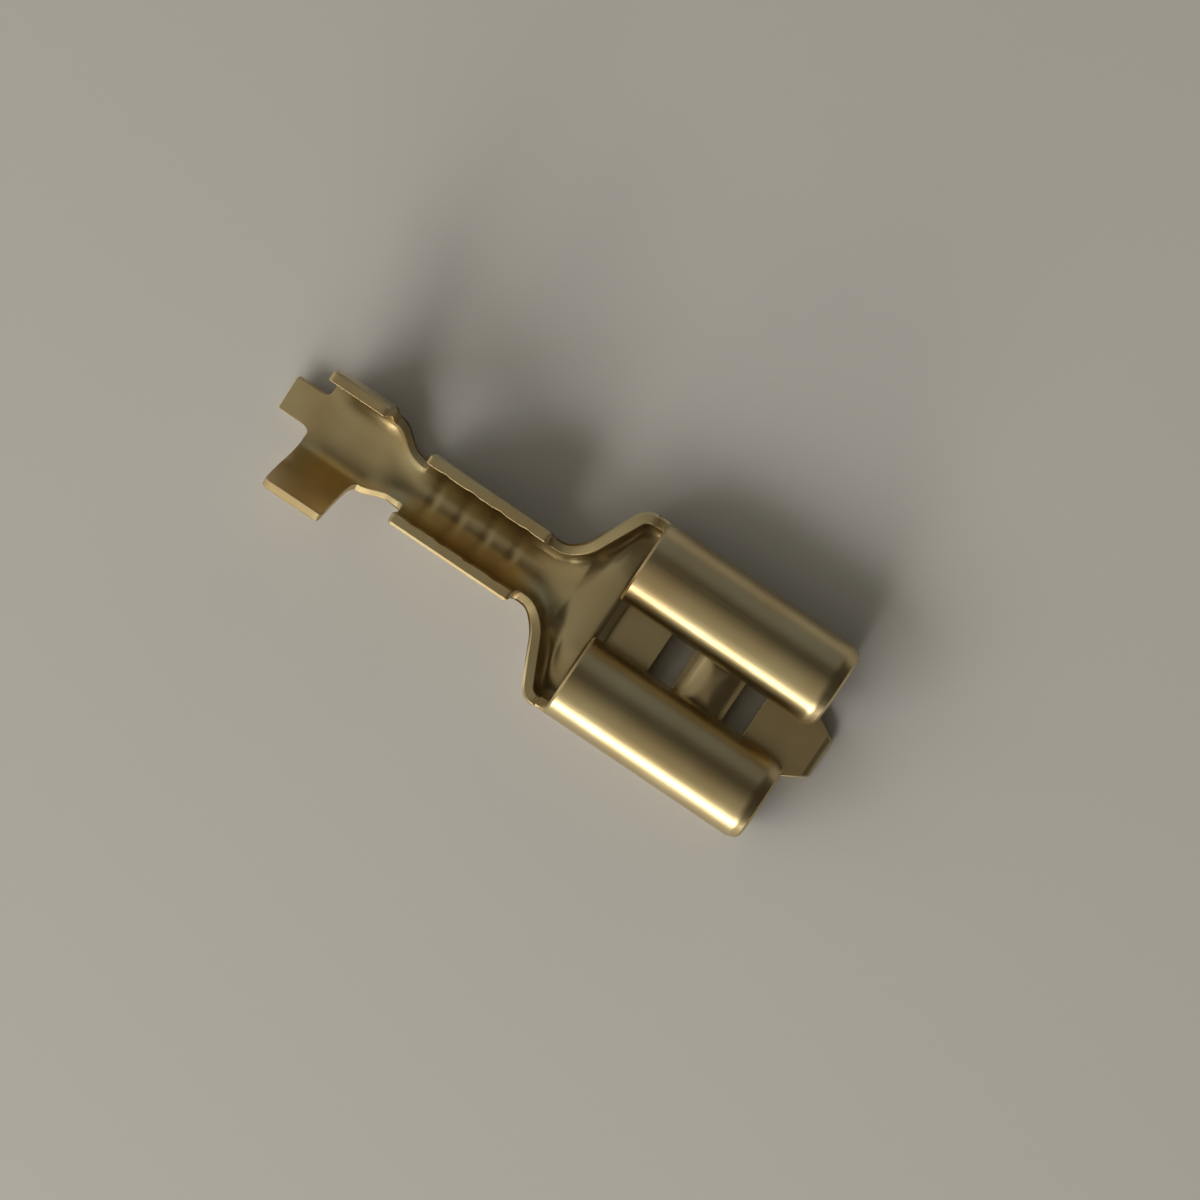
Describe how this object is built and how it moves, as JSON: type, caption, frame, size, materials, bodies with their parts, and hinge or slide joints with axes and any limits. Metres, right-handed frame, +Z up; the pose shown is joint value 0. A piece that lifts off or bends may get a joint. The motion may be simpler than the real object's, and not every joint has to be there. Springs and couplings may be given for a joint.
{
  "type": "female spade terminal",
  "caption": "Uninsulated female spade terminal, folded from brass strip, with rolled receptacle, open wire barrel, open insulation barrel and carrier tab.",
  "frame": {"origin": "centre of the part's box, on the plane that it rests on", "axes": "+X along the terminal towards the tab mouth, +Z up out of the open side of the barrels, +Y to the left when looking along +X"},
  "size_m": [0.0222, 0.0078, 0.0043],
  "materials": {
    "brass": "satin, as rolled and stamped"
  },
  "bodies": {
    "root": {"female_spade_terminal": "brass"}
  },
  "joints": []
}
